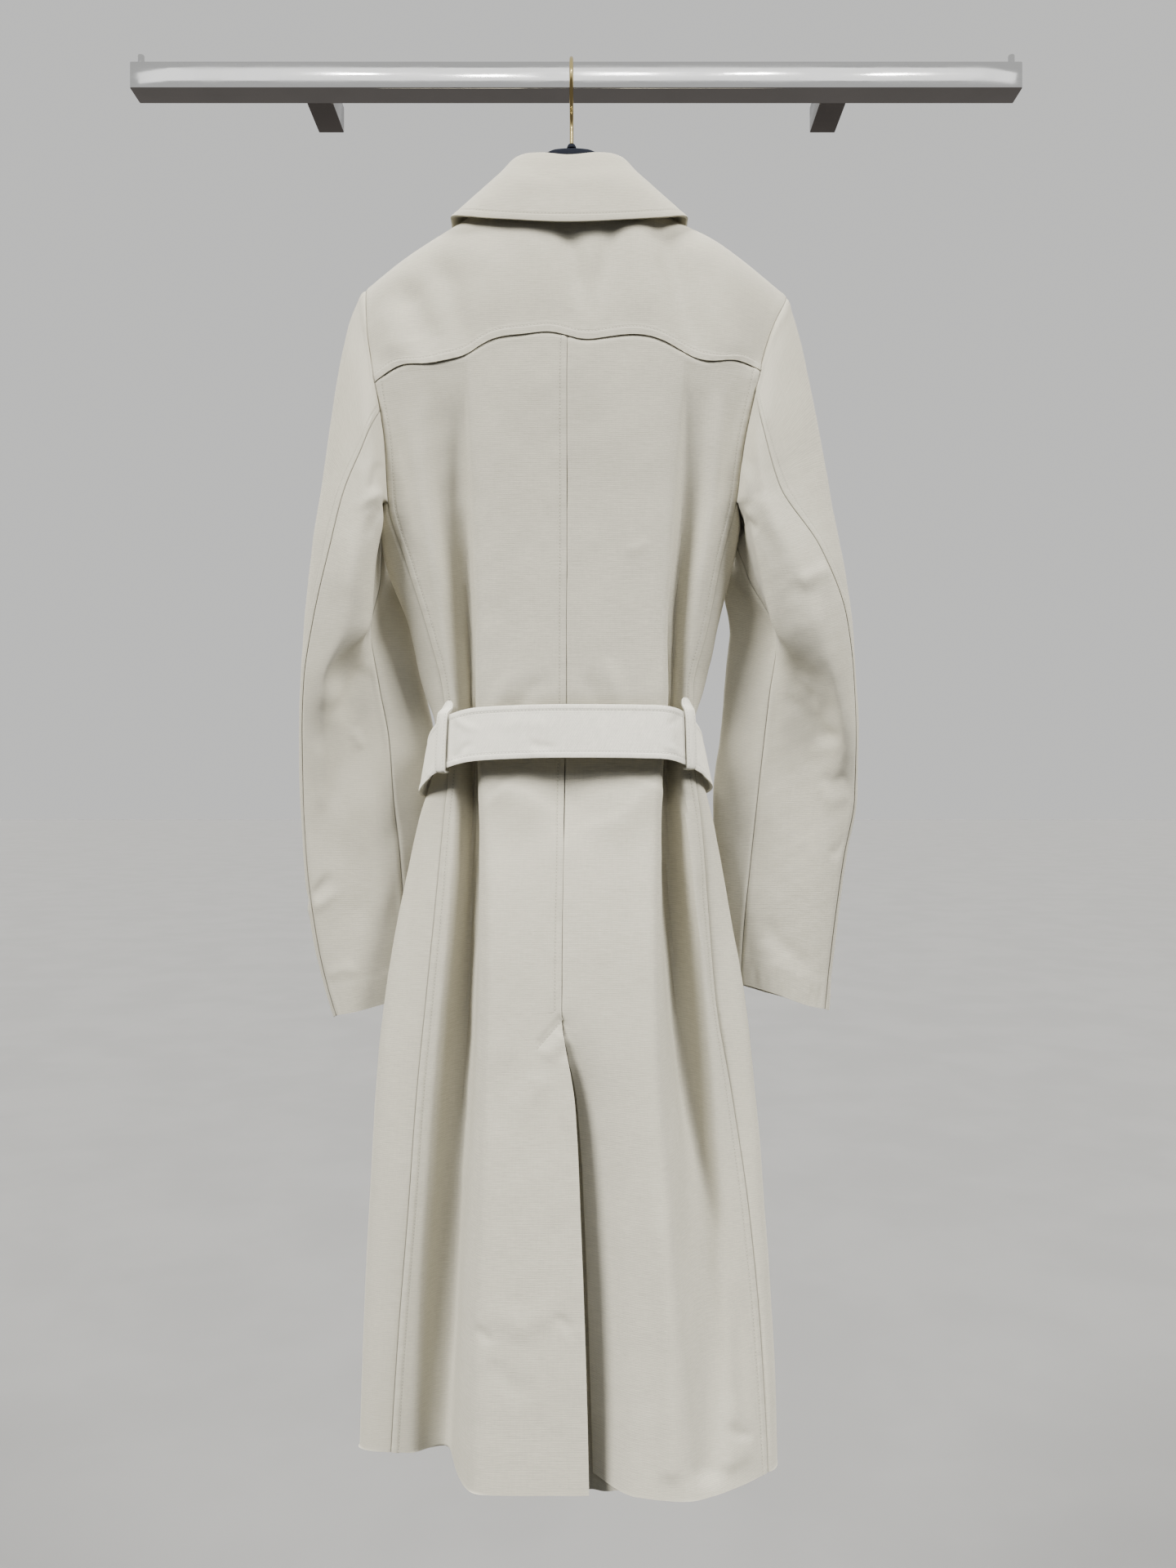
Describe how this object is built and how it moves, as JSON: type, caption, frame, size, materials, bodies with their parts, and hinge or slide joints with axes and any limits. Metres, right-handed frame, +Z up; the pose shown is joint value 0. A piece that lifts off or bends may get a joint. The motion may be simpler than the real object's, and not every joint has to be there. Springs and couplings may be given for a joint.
{
  "type": "trench coat on a wall rail",
  "caption": "Belted knee-length trench coat with yoke, collar and back vent, hung by a black hanger with a wire hook over a polished square wall rail.",
  "frame": {"origin": "on the wall plane, midway between the two brackets, at the height of the rail's centre", "axes": "+X along the rail, to the right of someone facing the wall; +Y into the wall; +Z up. The coat's back faces -Y and its front faces the wall."},
  "size_m": [0.828, 0.174, 1.3015],
  "materials": {
    "coat_cloth": "matte compact cotton weave with a fine cross rib",
    "belt_cloth": "matte compact cotton weave, ribs across the strip",
    "button": "satin horn look",
    "hanger_black": "satin black lacquer",
    "brass": "polished",
    "polished_steel": "mirror polish"
  },
  "bodies": {
    "root": {"back_left": "coat_cloth", "back_right": "coat_cloth", "back_yoke": "coat_cloth", "front_left": "coat_cloth", "front_right": "coat_cloth", "under_sleeve_left": "coat_cloth", "under_sleeve_right": "coat_cloth", "top_sleeve_left": "coat_cloth", "top_sleeve_right": "coat_cloth", "collar_fall": "coat_cloth", "collar_stand": "coat_cloth", "vent_underlap": "coat_cloth", "belt": "belt_cloth", "belt_loop_left": "belt_cloth", "belt_loop_right": "belt_cloth", "belt_buckle": "belt_cloth", "button_1": "button", "button_2": "button", "button_3": "button", "button_4": "button", "button_5": "button", "hanger": "hanger_black", "hanger_nub": "hanger_black", "hook": "brass", "rail": "polished_steel", "bracket_left": "polished_steel", "bracket_right": "polished_steel", "end_pin_left": "polished_steel", "end_pin_right": "polished_steel"}
  },
  "joints": []
}
